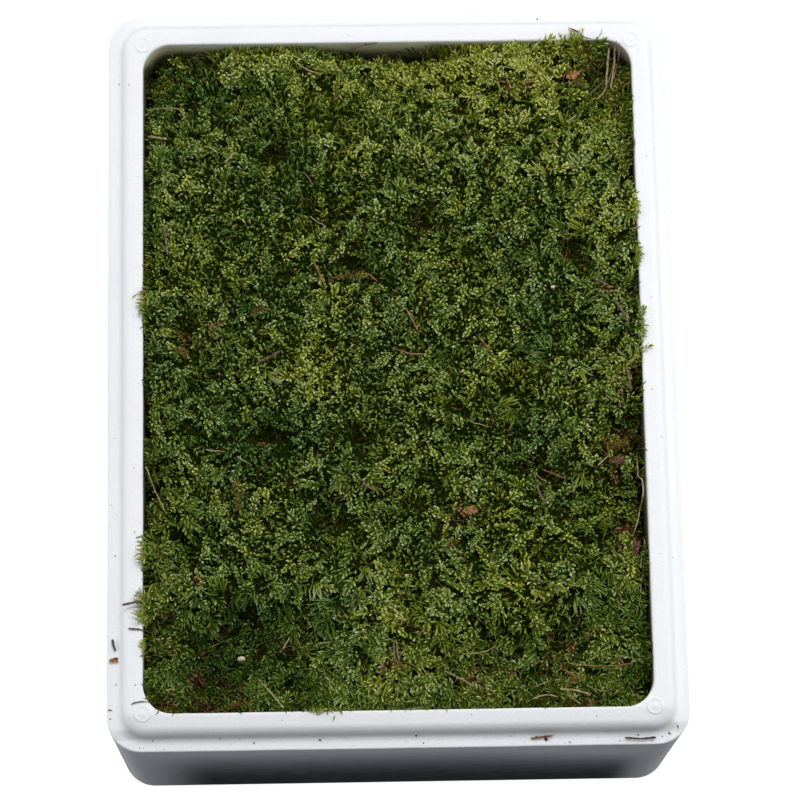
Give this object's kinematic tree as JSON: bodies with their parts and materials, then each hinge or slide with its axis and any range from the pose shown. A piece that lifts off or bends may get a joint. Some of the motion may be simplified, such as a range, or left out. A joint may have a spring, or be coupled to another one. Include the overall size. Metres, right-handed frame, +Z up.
{
  "type": "moss mat in a foam tray",
  "caption": "Living moss mat filling a white foam tray with a stepped rim, littered with dry needles, straws, twigs and leaf scraps.",
  "frame": {"origin": "middle of the tray's flat underside, on the surface that it stands on", "axes": "+Z up, +Y along the tray's long side, +X along its short side"},
  "size_m": [0.3, 0.4, 0.1443],
  "materials": {
    "foam": "matte white bead foam",
    "moss": "dense living moss, deep green with yellow-green tips",
    "pine_needle": "dry red-brown needle, slightly glossy",
    "straw": "dry pale tan straw",
    "grass_stem": "dry limp grass stem",
    "twig": "dull brown bark",
    "leaf_scrap": "dead leaf, dull",
    "crumb": "pale bleached crumb"
  },
  "bodies": {
    "root": {"foam_tray": "foam", "moss_mat": "moss", "pine_needle_1": "pine_needle", "pine_needle_2": "pine_needle", "pine_needle_3": "pine_needle", "pine_needle_4": "pine_needle", "pine_needle_5": "pine_needle", "pine_needle_6": "pine_needle", "pine_needle_7": "pine_needle", "pine_needle_8": "pine_needle", "pine_needle_9": "pine_needle", "pine_needle_10": "pine_needle", "straw_1": "straw", "straw_2": "straw", "straw_3": "straw", "straw_4": "straw", "straw_5": "straw", "straw_6": "straw", "straw_7": "straw", "straw_8": "straw", "straw_9": "straw", "straw_10": "straw", "straw_11": "straw", "straw_12": "straw", "straw_13": "straw", "straw_14": "straw", "grass_stem_1": "grass_stem", "grass_stem_2": "grass_stem", "grass_stem_3": "grass_stem", "grass_stem_4": "grass_stem", "grass_stem_5": "grass_stem", "twig_1": "twig", "twig_2": "twig", "twig_3": "twig", "twig_4": "twig", "twig_5": "twig", "twig_6": "twig", "twig_7": "twig", "twig_8": "twig", "twig_9": "twig", "twig_10": "twig", "twig_11": "twig", "leaf_scrap_1": "leaf_scrap", "leaf_scrap_2": "leaf_scrap", "leaf_scrap_3": "leaf_scrap", "leaf_scrap_4": "leaf_scrap", "leaf_scrap_5": "leaf_scrap", "leaf_scrap_6": "leaf_scrap", "crumb_1": "crumb", "crumb_2": "crumb"}
  },
  "joints": []
}
